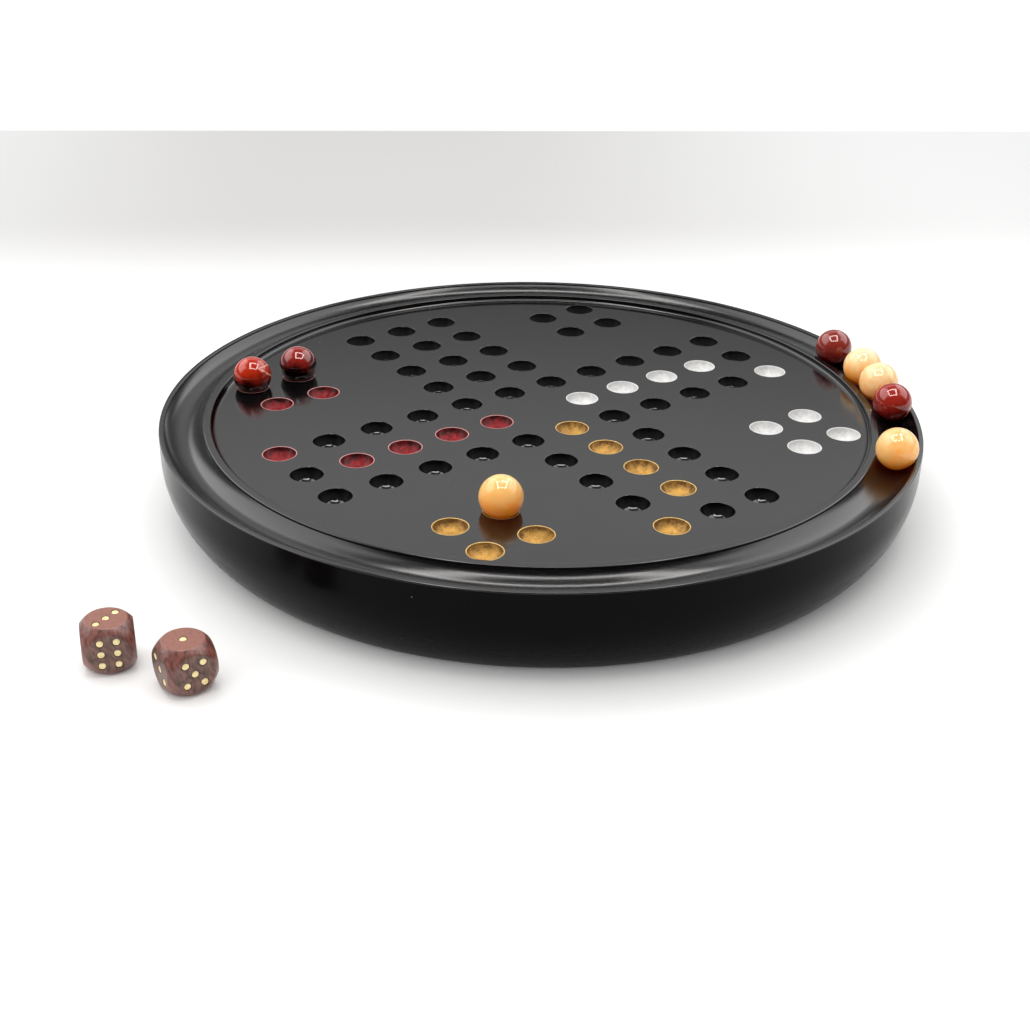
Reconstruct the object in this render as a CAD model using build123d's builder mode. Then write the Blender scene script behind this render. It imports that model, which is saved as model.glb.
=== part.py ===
from build123d import *
import os
from math import asin, cos, degrees, hypot, radians, sin, sqrt

# A round turned ludo board with a marble groove in its rim, stone marbles and two inlaid dice.
# The origin is the centre of the board's underside, +Z is up, and the cross of hollows runs along X and Y.

# Turned board
board_diameter = 300.0
board_height = 36.0
underside_inset = 12.2  # how far the bowl-shaped wall draws in from the widest line to the underside
wall_turn_height = 27.0  # the wall is upright above this height and curves in below it
underside_edge_round = 0.8
lip_width = 2.1  # from the outer wall to the groove
ring_width = 3.3  # from the groove to the recess of the playing field
top_edge_round = 0.5
recess_depth = 2.5
recess_foot_round = 1.7

# Stone marbles
yellow_marble_diameter = 16.0
red_marble_diameter = 15.5
marble_clearance = 0.3  # between a marble and what it rests in

# Marble groove
groove_depth = 4.7
groove_ease = 1.0  # how much larger the round floor's radius is than the largest marble's

# Hollows of the playing field, on a square grid counted from the board's centre
arm_length = 5  # cells from the centre to the end of an arm
base_cells = (3, 4)  # the columns and rows of a corner base
hollow_diameter = 12.5
hollow_depth = 3.9
hollow_rim_round = 0.25
hollow_edge_margin = 2.1  # from the outermost hollows to the foot of the recess wall
lining_thickness = 0.3  # enamel coat in the coloured hollows
same_radius = 0.01  # edges this close to a radius have that radius

# Marbles in the groove, clockwise from the first one
first_groove_angle = -10.97  # degrees from +X
groove_gaps = (8.2, 1.1, 4.75, 29.5)  # free space between neighbours, in order

# Dice
die_side = 17.4
pip_diameter = 2.3
pip_ring_gap = 0.2  # dark ring round each inlaid pin
pip_depth = 1.2
diagonal_reach = 3.2  # from a two's or a three's centre lines to its outer pips
square_reach = (2.95, 3.75)  # from a four's or a five's centre lines to its outer pips, across and up
six_reach = (2.65, 4.2)  # from a six's centre lines to its outer pips, across and up
pip_edge_margin = 0.6  # from the outermost pip holes to the edge of a die's round face
first_die_from_rim = 49.0
first_die_bearing = 188.27
first_die_turn = -20.0
second_die_from_rim = 39.5
second_die_bearing = 196.76
second_die_turn = -3.0

# Sizes that follow from the ones above
board_radius = board_diameter / 2
underside_radius = board_radius - underside_inset
field_height = board_height - recess_depth
largest_marble_radius = max(yellow_marble_diameter, red_marble_diameter) / 2

# The groove is just wide enough for the largest marble to reach its floor past the rounded edges
groove_floor_height = board_height - groove_depth
marble_over_lip = largest_marble_radius + marble_clearance - groove_depth
edge_round_reach = largest_marble_radius + marble_clearance + top_edge_round
groove_half_width = sqrt(edge_round_reach**2 - (marble_over_lip + top_edge_round) ** 2) - top_edge_round
groove_floor_radius = largest_marble_radius + groove_ease
groove_side_rise = groove_floor_radius - sqrt(groove_floor_radius**2 - groove_half_width**2)
groove_side_height = groove_floor_height + groove_side_rise
groove_outer_radius = board_radius - lip_width
groove_radius = groove_outer_radius - groove_half_width
groove_inner_radius = groove_radius - groove_half_width
recess_radius = groove_inner_radius - ring_width

# The hollows are shallow balls, on a square grid that ends in the four corner bases
hollow_radius = hollow_diameter / 2
hollow_ball_radius = (hollow_radius**2 + hollow_depth**2) / (2 * hollow_depth)
hollow_ball_height = field_height - hollow_depth + hollow_ball_radius
field_radius = recess_radius - recess_foot_round
outermost_hollow_radius = field_radius - hollow_edge_margin - hollow_radius
hollow_pitch = outermost_hollow_radius / hypot(max(base_cells), max(base_cells))

# A die is a cube cut by a ball, which leaves a round flat face that just holds the pips
die_half = die_side / 2
pip_radius = pip_diameter / 2
pip_hole_radius = pip_radius + pip_ring_gap
outermost_pip = max(hypot(*square_reach), hypot(*six_reach), hypot(diagonal_reach, diagonal_reach))
die_face_radius = outermost_pip + pip_hole_radius + pip_edge_margin
die_ball_radius = hypot(die_half, die_face_radius)

os.makedirs("parts", exist_ok=True)


def save(piece, name):
    """Label a finished piece and write its file."""
    piece.part.label = name
    export_step(piece.part, f"parts/{name}.step")


def on_circle(radius, angle, height):
    """A point at a radius and an angle in degrees about the board's axis."""
    return (radius * cos(radians(angle)), radius * sin(radians(angle)), height)


def on_grid(cell, height):
    """The point above a cell of the hollow grid."""
    column, row = cell
    return (column * hollow_pitch, row * hollow_pitch, height)


def turned_cells(cells, quarter_turns):
    """Cells after the board is turned clockwise by quarter turns."""
    for _ in range(quarter_turns):
        cells = [(row, -column) for column, row in cells]
    return cells


# Hollow layout: a cross of three rows each way without its centre, and a base of four in each corner
home_row = [(column, 0) for column in range(1, arm_length)]
start_cell = [(arm_length, -1)]
corner_base = [(column, -row) for column in base_cells for row in base_cells]
team_hollows = home_row + start_cell + corner_base
white_hollows = turned_cells(team_hollows, 0)
gold_hollows = turned_cells(team_hollows, 1)
red_hollows = turned_cells(team_hollows, 2)
painted_hollows = white_hollows + gold_hollows + red_hollows

arm_range = range(-arm_length, arm_length + 1)
cross = [(column, row) for column in arm_range for row in arm_range if min(abs(column), abs(row)) <= 1]
cross.remove((0, 0))
bases = [cell for turns in range(4) for cell in turned_cells(corner_base, turns)]
bare_hollows = [cell for cell in cross + bases if cell not in painted_hollows]

# Turned board, one piece of wood from the underside to the lip
with BuildPart() as turned_board:
    with BuildSketch(Plane.XZ) as section:
        with BuildLine():
            Line((0, 0), (underside_radius, 0))
            TangentArc((board_radius, wall_turn_height), (underside_radius, 0), tangent=(0, -1))
            Polyline(
                (board_radius, wall_turn_height),
                (board_radius, board_height),
                (groove_outer_radius, board_height),
                (groove_outer_radius, groove_side_height),
            )
            ThreePointArc(
                (groove_outer_radius, groove_side_height),
                (groove_radius, groove_floor_height),
                (groove_inner_radius, groove_side_height),
            )
            Polyline(
                (groove_inner_radius, groove_side_height),
                (groove_inner_radius, board_height),
                (recess_radius, board_height),
                (recess_radius, field_height),
                (0, field_height),
                (0, 0),
            )
        make_face()
        fillet(section.vertices().group_by(Axis.Y)[-1], top_edge_round)
        recess_foot = section.vertices().sort_by_distance((recess_radius, field_height))[0]
        fillet(recess_foot, recess_foot_round)
        underside_edge = section.vertices().sort_by_distance((underside_radius, 0))[0]
        fillet(underside_edge, underside_edge_round)
    revolve(axis=Axis.Z)
    with Locations(*[on_grid(cell, hollow_ball_height) for cell in bare_hollows]):
        Sphere(hollow_ball_radius, mode=Mode.SUBTRACT)
    hollow_rims = turned_board.edges().filter_by(GeomType.CIRCLE)
    hollow_rims = hollow_rims.filter_by(lambda edge: abs(edge.radius - hollow_radius) < same_radius)
    fillet(hollow_rims, hollow_rim_round)
    with Locations(*[on_grid(cell, hollow_ball_height) for cell in painted_hollows]):
        Sphere(hollow_ball_radius + lining_thickness, mode=Mode.SUBTRACT)
save(turned_board, "turned_board")

# Enamel linings, a thin coat in each coloured hollow, level with the playing field
linings = {
    "red_hollow_linings": red_hollows,
    "gold_hollow_linings": gold_hollows,
    "white_hollow_linings": white_hollows,
}
for lining_name, cells in linings.items():
    with BuildPart() as lining:
        with Locations(*[on_grid(cell, hollow_ball_height) for cell in cells]):
            Sphere(hollow_ball_radius + lining_thickness)
            Sphere(hollow_ball_radius, mode=Mode.SUBTRACT)
        split(bisect_by=Plane.XY.offset(field_height), keep=Keep.BOTTOM)
    save(lining, lining_name)


def make_marble(name, radius, centre):
    """A polished stone ball."""
    with BuildPart() as marble:
        with Locations(centre):
            Sphere(radius)
    save(marble, name)


# Marbles waiting in the corner bases, each on the rim of its hollow
red_radius = red_marble_diameter / 2
yellow_radius = yellow_marble_diameter / 2
marbles_in_bases = {
    "red_marble_1": (red_radius, (-4, 4)),
    "red_marble_2": (red_radius, (-3, 4)),
    "yellow_marble_1": (yellow_radius, (-3, -3)),
}
for marble_name, (radius, cell) in marbles_in_bases.items():
    centre_height = field_height + sqrt((radius + marble_clearance) ** 2 - hollow_radius**2)
    make_marble(marble_name, radius, on_grid(cell, centre_height))

# Marbles kept in the groove, each a free gap clockwise from the one before
marbles_in_groove = {
    "red_marble_3": red_radius,
    "yellow_marble_2": yellow_radius,
    "yellow_marble_3": yellow_radius,
    "red_marble_4": red_radius,
    "yellow_marble_4": yellow_radius,
}
radii = list(marbles_in_groove.values())
angles = [first_groove_angle]
for before, after, gap in zip(radii, radii[1:], groove_gaps):
    angles.append(angles[-1] - 2 * degrees(asin((before + after + gap) / (2 * groove_radius))))
for (marble_name, radius), angle in zip(marbles_in_groove.items(), angles):
    centre_height = groove_floor_height + marble_clearance + radius
    make_marble(marble_name, radius, on_circle(groove_radius, angle, centre_height))

# Pip layouts on a face, about its centre
middle_pip = [(0, 0)]
diagonal = [(side * diagonal_reach, side * diagonal_reach) for side in (-1, 1)]
square = [(side * square_reach[0], row * square_reach[1]) for side in (-1, 1) for row in (-1, 1)]
two_columns = [(side * six_reach[0], row * six_reach[1]) for side in (-1, 1) for row in (-1, 0, 1)]
pip_layouts = {
    "one": middle_pip,
    "two": diagonal,
    "three": diagonal + middle_pip,
    "four": square,
    "five": square + middle_pip,
    "six": two_columns,
}

# Faces of a die as outward directions, each with the direction of its layout's first axis
die_faces = {
    "top": ((0, 0, 1), (1, 0, 0)),
    "bottom": ((0, 0, -1), (1, 0, 0)),
    "front": ((0, -1, 0), (1, 0, 0)),
    "back": ((0, 1, 0), (-1, 0, 0)),
    "right": ((1, 0, 0), (0, 1, 0)),
    "left": ((-1, 0, 0), (0, -1, 0)),
}


def pip_places(numbers, falling_faces):
    """Every pip's place on a die at the origin, with some layouts turned so that their diagonal falls."""
    places = []
    for face, number in numbers.items():
        outward, along = die_faces[face]
        layout = pip_layouts[number]
        if face in falling_faces:
            layout = [(-up, right) for right, up in layout]
        plane = Plane(origin=[die_half * part for part in outward], x_dir=along, z_dir=outward)
        places += [plane * Location(point) for point in layout]
    return places


def make_die(name, from_rim, bearing, turn, numbers, falling_faces=()):
    """A turned die and its inlaid pins, standing beside the board."""
    centre = on_circle(board_radius + from_rim, bearing, die_half)
    seat = Plane(origin=centre, x_dir=(cos(radians(turn)), sin(radians(turn)), 0), z_dir=(0, 0, 1))
    places = pip_places(numbers, falling_faces)
    with BuildPart(seat) as die:
        Box(die_side, die_side, die_side)
        Sphere(die_ball_radius, mode=Mode.INTERSECT)
        with Locations(*places):
            Hole(pip_hole_radius, depth=pip_depth)
    save(die, name)
    with BuildPart(seat) as pips:
        with Locations(*places):
            Cylinder(pip_radius, pip_depth, align=(Align.CENTER, Align.CENTER, Align.MAX))
    save(pips, f"{name}_pips")


# Dice, opposite faces adding up to seven
first_numbers = dict(top="three", front="six", right="five", back="one", left="two", bottom="four")
second_numbers = dict(top="one", front="five", right="four", back="two", left="three", bottom="six")
make_die("first_die", first_die_from_rim, first_die_bearing, first_die_turn, first_numbers)
make_die("second_die", second_die_from_rim, second_die_bearing, second_die_turn, second_numbers, ["left"])
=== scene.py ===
"""A round turned ludo board with stone marbles and two inlaid dice, dressed around its fixed frame.

Every size is in metres and every angle in degrees. The origin is the centre of the board's underside, +Z is up,
and the cross of hollows runs along X and Y.
"""

import logging
import math
from dataclasses import dataclass, replace
from enum import Enum
from typing import Callable, Iterable, Sequence, Union

import bpy
from mathutils import Matrix, Vector


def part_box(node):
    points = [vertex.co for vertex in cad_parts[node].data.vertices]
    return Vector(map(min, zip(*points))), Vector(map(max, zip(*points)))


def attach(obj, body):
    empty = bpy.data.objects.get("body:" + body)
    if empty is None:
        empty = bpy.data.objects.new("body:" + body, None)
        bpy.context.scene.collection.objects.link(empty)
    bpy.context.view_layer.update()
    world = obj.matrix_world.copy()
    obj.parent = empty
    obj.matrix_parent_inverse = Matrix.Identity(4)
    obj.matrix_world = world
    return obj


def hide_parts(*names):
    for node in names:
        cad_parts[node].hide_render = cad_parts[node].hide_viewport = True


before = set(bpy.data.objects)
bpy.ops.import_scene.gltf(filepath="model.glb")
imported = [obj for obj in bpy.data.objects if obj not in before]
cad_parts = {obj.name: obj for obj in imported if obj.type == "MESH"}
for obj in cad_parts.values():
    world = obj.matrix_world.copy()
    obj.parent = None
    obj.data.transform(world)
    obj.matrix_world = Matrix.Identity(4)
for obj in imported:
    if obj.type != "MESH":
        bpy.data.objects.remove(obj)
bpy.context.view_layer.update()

log = logging.getLogger("ludo_board")

Point = tuple[float, float]
Span = tuple[float, float]
Way = tuple[float, float, float]
Cell = tuple[int, int]
Colour = tuple[float, float, float, float]
Number = Union["Value", float]
Sockets = dict[Union[int, str], object]

SMOOTH_ANGLE = math.radians(32)
FLAT_LIMIT = 0.99999
TINY = 1e-6


def colour(red: float, green: float, blue: float) -> Colour:
    """Give an opaque colour from its linear parts."""
    return (red, green, blue, 1.0)


def math_operator(operation: str, swapped: bool = False) -> Callable[..., "Value"]:
    """Make an operator of Value.

    Args:
        operation: the Math node's operation.
        swapped: whether the other number stands first.

    Returns:
        The operator.
    """

    def operator(value: "Value", other: Number = 0.0) -> "Value":
        """Add the Math node and give its result."""
        first, second = (other, value) if swapped else (value, other)
        return value.shader.node("ShaderNodeMath", {"operation": operation}, {0: first, 1: second})

    return operator


class Value:
    """A shader socket that numbers can be worked out from.

    at_least gives the larger of two, and heading the angle in radians whose tangent is this value over another.
    """

    __add__ = math_operator("ADD")
    __radd__ = math_operator("ADD", swapped=True)
    __sub__ = math_operator("SUBTRACT")
    __rsub__ = math_operator("SUBTRACT", swapped=True)
    __mul__ = math_operator("MULTIPLY")
    __rmul__ = math_operator("MULTIPLY", swapped=True)
    __truediv__ = math_operator("DIVIDE")
    __pow__ = math_operator("POWER")
    __abs__ = math_operator("ABSOLUTE")
    at_least = math_operator("MAXIMUM")
    heading = math_operator("ARCTAN2")

    def __init__(self, shader: "Shader", socket: bpy.types.NodeSocket) -> None:
        """Wrap an output socket of a shader's tree."""
        self.shader = shader
        self.socket = socket

    def ramp(self, low: float, high: float) -> "Value":
        """Rise smoothly from 0 to 1.

        Args:
            low: the value at 0.
            high: the value at 1, which may be the lower of the two.

        Returns:
            The share of the way, kept from 0 to 1.
        """
        settings = {"interpolation_type": "SMOOTHSTEP"}
        if low <= high:
            return self.shader.node("ShaderNodeMapRange", settings, {0: self, 1: low, 2: high})
        return 1 - self.ramp(high, low)

    def band(self, start: float, end: float, soft: float) -> "Value":
        """Give 1 between two values and 0 outside them, each edge spread by a soft width to both sides."""
        return self.ramp(start - soft, start + soft) * self.ramp(end + soft, end - soft)

    def toward(self, share: "Value", other: Number) -> "Value":
        """Go a share of the way to another number."""
        return self + share * (other - self)


class Shader:
    """A node tree that is filled by plain calls."""

    def __init__(self, tree: bpy.types.NodeTree, place_output: str = "Object") -> None:
        """Start on the tree of a material or of the world, with patterns laid on one texture coordinate."""
        self.tree = tree
        self.place = self.node("ShaderNodeTexCoord", {}, {}, place_output)

    def node(self, kind: str, settings: dict[str, object], sockets: Sockets, output: Union[int, str] = 0) -> Value:
        """Add a node.

        Args:
            kind: the node's type.
            settings: its own settings, set first; "stops" are a colour ramp's places and colours.
            sockets: a value or a link for each of its inputs.
            output: the output to give back.

        Returns:
            That output.
        """
        made = self.tree.nodes.new(kind)
        for name, setting in settings.items():
            if name == "stops":
                self._fill_ramp(made.color_ramp, setting)
            else:
                setattr(made, name, setting)
        for name, given in sockets.items():
            self.feed(made.inputs[name], given)
        return Value(self, made.outputs[output])

    def feed(self, socket: bpy.types.NodeSocket, given: object) -> None:
        """Link a value to an input, or set a number or colour on it.

        Args:
            socket: the input.
            given: the value, number or colour.
        """
        if isinstance(given, Value):
            self.tree.links.new(given.socket, socket)
        else:
            socket.default_value = given

    @staticmethod
    def _fill_ramp(ramp: bpy.types.ColorRamp, stops: Sequence[tuple[float, Colour]]) -> None:
        """Give a colour ramp its stops.

        Args:
            ramp: the ramp.
            stops: each stop's place and colour.
        """
        while len(ramp.elements) < len(stops):
            ramp.elements.new(1.0)
        for element, (place, shade) in zip(ramp.elements, stops):
            element.position = place
            element.color = shade

    def split(self, vector: Value) -> tuple[Value, Value, Value]:
        """Split a vector.

        Args:
            vector: the vector.

        Returns:
            Its three parts.
        """
        parts = self.node("ShaderNodeSeparateXYZ", {}, {0: vector})
        outputs = parts.socket.node.outputs
        return Value(self, outputs[0]), Value(self, outputs[1]), Value(self, outputs[2])

    def join(self, x: Number, y: Number, z: Number = 0.0) -> Value:
        """Give the vector of three parts."""
        return self.node("ShaderNodeCombineXYZ", {}, {0: x, 1: y, 2: z})

    def local(self, centre: Sequence[float], turn: float = 0.0, size: float = 1.0) -> Value:
        """Give places counted from a piece's centre, in its own size, for a piece turned about the upright."""
        sockets = {0: self.place, 1: list(centre), 2: (0, 0, math.radians(turn)), 3: [size] * 3}
        return self.node("ShaderNodeMapping", {"vector_type": "TEXTURE"}, sockets)

    def noise(self, where: Value, scale: float, detail: float = 2.0, rough: float = 0.5) -> Value:
        """Give a cloudy value from 0 to 1, with scale waves in a metre and detail finer layers of rough strength."""
        sockets = {"Vector": where, "Scale": scale, "Detail": detail, "Roughness": rough}
        return self.node("ShaderNodeTexNoise", {}, sockets)

    def specks(self, where: Value, scale: float, size: float, share: float) -> Value:
        """Scatter small round specks.

        Args:
            where: the place.
            scale: cells in a metre, each with at most one speck.
            size: a speck's radius.
            share: the share of cells that have one.

        Returns:
            The mask.
        """
        sockets = {"Vector": where, "Scale": scale}
        distance = self.node("ShaderNodeTexVoronoi", {}, sockets, "Distance")
        chance = Value(self, distance.socket.node.outputs["Color"])
        kept = self.split(chance)[0].ramp(1 - share, 1 - share + TINY)
        return distance.ramp(size * scale, size * scale / 2) * kept

    def blend(self, amount: Number, first: object, second: object) -> Value:
        """Mix two colours, the amount being the share of the second."""
        return self.node("ShaderNodeMix", {"data_type": "RGBA"}, {0: amount, 6: first, 7: second}, 2)

    def ramp_colour(self, amount: Value, stops: Sequence[tuple[float, Colour]]) -> Value:
        """Colour a value by stops."""
        return self.node("ShaderNodeValToRGB", {"stops": stops}, {0: amount})

    def along(self, vector: Value, way: Sequence[float]) -> Value:
        """Give how far a vector reaches along a direction."""
        return self.node("ShaderNodeVectorMath", {"operation": "DOT_PRODUCT"}, {0: vector, 1: way}, "Value")

    def bump(self, height: Value, depth: float) -> Value:
        """Give the normals of a surface raised by a height from 0 to 1, where 1 is as high as the depth."""
        return self.node("ShaderNodeBump", {}, {"Strength": 1.0, "Distance": depth, "Height": height})


class Surface(Shader):
    """A material whose nodes end in one Principled surface."""

    def __init__(self, name: str) -> None:
        """Start on a material.

        Args:
            name: its name.
        """
        self.material = bpy.data.materials.new(name)
        self.material.use_nodes = True
        super().__init__(self.material.node_tree)
        self.principled = self.tree.nodes["Principled BSDF"]

    def finish(self, **sockets: object) -> bpy.types.Material:
        """Set the surface's own sockets.

        Args:
            sockets: a value or link for each, named as the socket with _ for a space.

        Returns:
            The finished material.
        """
        for name, given in sockets.items():
            self.feed(self.principled.inputs[name.replace("_", " ")], given)
        return self.material


def deselect_all() -> None:
    """Leave no object selected."""
    bpy.ops.object.select_all(action="DESELECT")


def pick(*pieces: bpy.types.Object) -> None:
    """Select only some pieces.

    Args:
        pieces: the pieces, the last of them active.
    """
    deselect_all()
    for piece in pieces:
        piece.select_set(True)
        bpy.context.view_layer.objects.active = piece


def settle(piece: bpy.types.Object) -> None:
    """Put a piece's place and size into its mesh."""
    pick(piece)
    bpy.ops.object.transform_apply(location=True, rotation=True, scale=True)


def edit(piece: bpy.types.Object) -> None:
    """Open a mesh with all of it selected.

    Args:
        piece: the piece whose mesh is opened.
    """
    pick(piece)
    bpy.ops.object.mode_set(mode="EDIT")
    bpy.ops.mesh.select_all(action="SELECT")


def close_edit() -> None:
    """Close the mesh that is open."""
    bpy.ops.object.mode_set(mode="OBJECT")


def turned(name: str, profile: Sequence[Point], steps: int) -> bpy.types.Object:
    """Turn a closed piece about the Z axis, as on a lathe.

    Args:
        name: the piece's name.
        profile: (radius, height) points from the flat face at one end to the flat face at the other.
        steps: how many flats go round it.

    Returns:
        The piece.
    """
    radius, height = profile[0]
    deselect_all()
    bpy.ops.mesh.primitive_circle_add(vertices=steps, radius=radius, fill_type="NGON", location=(0, 0, height))
    piece = bpy.context.object
    piece.name = name
    settle(piece)
    edit(piece)
    for next_radius, next_height in profile[1:]:
        bpy.ops.mesh.extrude_region_move(TRANSFORM_OT_translate={"value": (0, 0, next_height - height)})
        share = next_radius / radius
        bpy.ops.transform.resize(value=(share, share, 1), center_override=(0, 0, next_height))
        radius, height = next_radius, next_height
    bpy.ops.mesh.select_all(action="SELECT")
    bpy.ops.mesh.remove_doubles(threshold=TINY)
    bpy.ops.mesh.normals_make_consistent(inside=False)
    close_edit()
    return piece


def copies(pattern: bpy.types.Object, places: Iterable[Matrix]) -> list[bpy.types.Object]:
    """Copy a piece to several places, each copy with its own mesh, and delete the pattern.

    Args:
        pattern: the piece that is copied.
        places: where the copies go.

    Returns:
        The copies.
    """
    made = []
    for place in places:
        pick(pattern)
        bpy.ops.object.duplicate()
        copy = bpy.context.object
        copy.matrix_world = place
        settle(copy)
        made.append(copy)
    bpy.data.objects.remove(pattern)
    return made


def joined(name: str, pieces: Sequence[bpy.types.Object]) -> bpy.types.Object:
    """Join pieces into one object.

    Args:
        name: its name.
        pieces: what is joined.

    Returns:
        The object.
    """
    pick(*pieces)
    bpy.ops.object.join()
    whole = bpy.context.object
    whole.name = name
    return whole


def modify(piece: bpy.types.Object, kind: str, **settings: object) -> None:
    """Add a modifier and apply it.

    Args:
        piece: the piece that it changes.
        kind: its type.
        settings: its settings.
    """
    pick(piece)
    modifier = piece.modifiers.new(kind.title(), kind)
    for name, setting in settings.items():
        setattr(modifier, name, setting)
    bpy.ops.object.modifier_apply(modifier=modifier.name)


def cut(piece: bpy.types.Object, cutter: bpy.types.Object, **settings: object) -> None:
    """Cut a piece by another and delete the cutter."""
    modify(piece, "BOOLEAN", operation="DIFFERENCE", solver="EXACT", object=cutter, **settings)
    bpy.data.objects.remove(cutter)


def select_faces(piece: bpy.types.Object, wanted: Callable[[bpy.types.MeshPolygon], bool]) -> None:
    """Select some faces of the mesh that is open.

    Args:
        piece: the piece whose mesh is open.
        wanted: the test of a face.
    """
    bpy.ops.mesh.select_mode(type="FACE")
    bpy.ops.mesh.select_all(action="DESELECT")
    bpy.ops.object.mode_set(mode="OBJECT")
    for face in piece.data.polygons:
        face.select = wanted(face)
    bpy.ops.object.mode_set(mode="EDIT")


def smooth(piece: bpy.types.Object, flat_ways: Sequence[Vector] = ()) -> None:
    """Shade a piece smoothly, apart from its sharp edges and its flat faces.

    Args:
        piece: the piece.
        flat_ways: the directions that its flat faces look in.
    """
    pick(piece)
    bpy.ops.object.shade_smooth_by_angle(angle=SMOOTH_ANGLE)
    for face in piece.data.polygons:
        if any(face.normal.dot(way) > FLAT_LIMIT for way in flat_ways):
            face.use_smooth = False
    modify(piece, "WEIGHTED_NORMAL", keep_sharp=True)


def hand_over(piece: bpy.types.Object, body: str, slot: str, *nodes: str) -> None:
    """Put a finished piece on its body, in place of the plain solids that it stands for.

    Args:
        piece: the piece.
        body: the body that it moves with.
        slot: the material slot of its finish; it is not used.
        nodes: the solids that it stands for.
    """
    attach(piece, body)
    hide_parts(*nodes)
    log.info("%s: %d faces on body %s", piece.name, len(piece.data.polygons), body)


def arc(centre: Point, radius: float, start: float, end: float, steps: int) -> list[Point]:
    """Give points along an arc of a profile between two angles in degrees from the outward direction."""
    turns = [math.radians(start + (end - start) * step / steps) for step in range(steps + 1)]
    return [(centre[0] + radius * math.cos(turn), centre[1] + radius * math.sin(turn)) for turn in turns]


@dataclass(frozen=True)
class BlackLacquer:
    """Black lacquer on turned wood, polished on top and duller where it is hard to reach."""

    name: str
    specular: float
    roughness: float
    dust_share: float
    black: Colour = colour(0.0035, 0.0034, 0.0036)
    dust: Colour = colour(0.30, 0.30, 0.31)
    dust_radius: float = 0.00022
    dust_cells: float = 110.0
    dust_strength: float = 0.8
    dust_roughness: float = 0.4
    cloud_scale: float = 55.0
    cloud_roughness: float = 0.05
    groove_roughness: float = 0.08
    groove_edge: float = 0.0004
    streak_roughness: float = 0.16
    streak_scale: float = 1400.0
    streak_turn_scale: float = 5.0
    ripple_scale: float = 420.0
    ripple_depth: float = 0.00001
    ripple_share: float = 0.15
    film: float = 0.0
    film_span: Span = (0.50, 0.75)
    sheen: float = 0.0
    sheen_roughness: float = 0.2

    def material(self, groove: tuple[float, float]) -> bpy.types.Material:
        """Make the material.

        Args:
            groove: the inner and outer radius of the groove, where the tool left streaks.

        Returns:
            The material.
        """
        shader = Surface(self.name)
        x, y, z = shader.split(shader.place)
        radius = (x * x + y * y) ** 0.5
        clouds = shader.noise(shader.place, self.cloud_scale, detail=3.0)
        scale = self.streak_scale
        round_axis = shader.join(radius * scale, y.heading(x) * self.streak_turn_scale, z * scale)
        streaks = shader.noise(round_axis, scale=1.0, detail=4.0, rough=0.6)
        in_groove = radius.band(*groove, self.groove_edge)
        specks = shader.specks(shader.place, self.dust_cells, self.dust_radius, self.dust_share)
        rough = self.roughness + (clouds - 0.5) * self.cloud_roughness
        rough = rough + in_groove * (self.groove_roughness + (streaks - 0.5) * self.streak_roughness)
        ripple = shader.noise(shader.place, self.ripple_scale)
        ripple = ripple * (self.ripple_share + in_groove * (1 - self.ripple_share))
        filmed = shader.blend(clouds.ramp(*self.film_span) * self.film, self.black, self.dust)
        return shader.finish(
            Base_Color=shader.blend(specks * self.dust_strength, filmed, self.dust),
            Roughness=rough + specks * self.dust_roughness,
            Specular_IOR_Level=self.specular,
            Sheen_Weight=self.sheen,
            Sheen_Roughness=self.sheen_roughness,
            Normal=shader.bump(ripple, self.ripple_depth),
        )


class Team(Enum):
    """A team's colour in its nine hollows, with how far its layout is turned clockwise."""

    WHITE = ("white", 0)
    GOLD = ("gold", 1)
    RED = ("red", 2)

    @property
    def word(self) -> str:
        """Give the team's name."""
        return self.value[0]

    @property
    def quarter_turns(self) -> int:
        """Give how many quarter turns clockwise its layout is from the first."""
        return self.value[1]


@dataclass(frozen=True)
class Enamel:
    """A brushed coat of enamel in a hollow, with painted shade up its wall and a painted highlight along its rim."""

    team: Team
    # deep is the darkest enamel, and the colour of the painted shade near the rim
    deep: Colour
    full: Colour
    metallic: float
    roughness: float
    grain_scale: float
    grain_depth: float
    specular: float
    # the colour of the painted highlight along the rim
    rim: Colour
    patch_scale: float = 420.0
    patch_share: float = 0.62
    mottle_span: Span = (0.36, 0.62)
    mottle_share: float = 0.6
    # how strongly the painted shade darkens the enamel up the hollow's wall
    painted_shade_share: float = 0.8
    thin_share: float = 0.3
    grain_roughness: float = 0.2
    grain_relief: float = 0.7
    # how far under the rim the painted highlight reaches, and where it is full
    rim_height: float = 0.00009
    rim_fade: float = 0.4

    def material(self, top: float, depth: float) -> bpy.types.Material:
        """Make the material, darker up the hollow's side and lighter towards its bottom, which is painted shade on the
        wall, and pale along the rim, which is a painted highlight.

        Args:
            top: the height of the rim.
            depth: how deep the hollow is.

        Returns:
            The material.
        """
        shader = Surface(f"{self.team.word}_enamel")
        height = shader.split(shader.place)[2]
        patches = shader.noise(shader.place, self.patch_scale, detail=4.0, rough=0.62)
        grain = shader.noise(shader.place, self.grain_scale, detail=3.0, rough=0.6)
        mottle = (patches * self.patch_share + grain * (1 - self.patch_share)).ramp(*self.mottle_span)
        # painted shade: the enamel is darker from the hollow's bottom up to its rim
        painted_shade_depth = height.ramp(top, top - depth)
        # painted highlight: a thin pale band just under the rim
        rim = height.ramp(top - self.rim_height, top - self.rim_height * self.rim_fade)
        thickness = mottle * self.mottle_share + painted_shade_depth * self.painted_shade_share - self.thin_share
        coat = shader.blend(thickness, self.deep, self.full)
        relief = grain * self.grain_relief + patches * (1 - self.grain_relief)
        return shader.finish(
            Base_Color=shader.blend(rim, coat, self.rim),
            Metallic=self.metallic,
            Roughness=self.roughness + (0.5 - grain) * self.grain_roughness,
            Specular_IOR_Level=self.specular,
            Normal=shader.bump(relief, self.grain_depth),
        )


# each enamel's rim colour is its painted highlight
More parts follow.
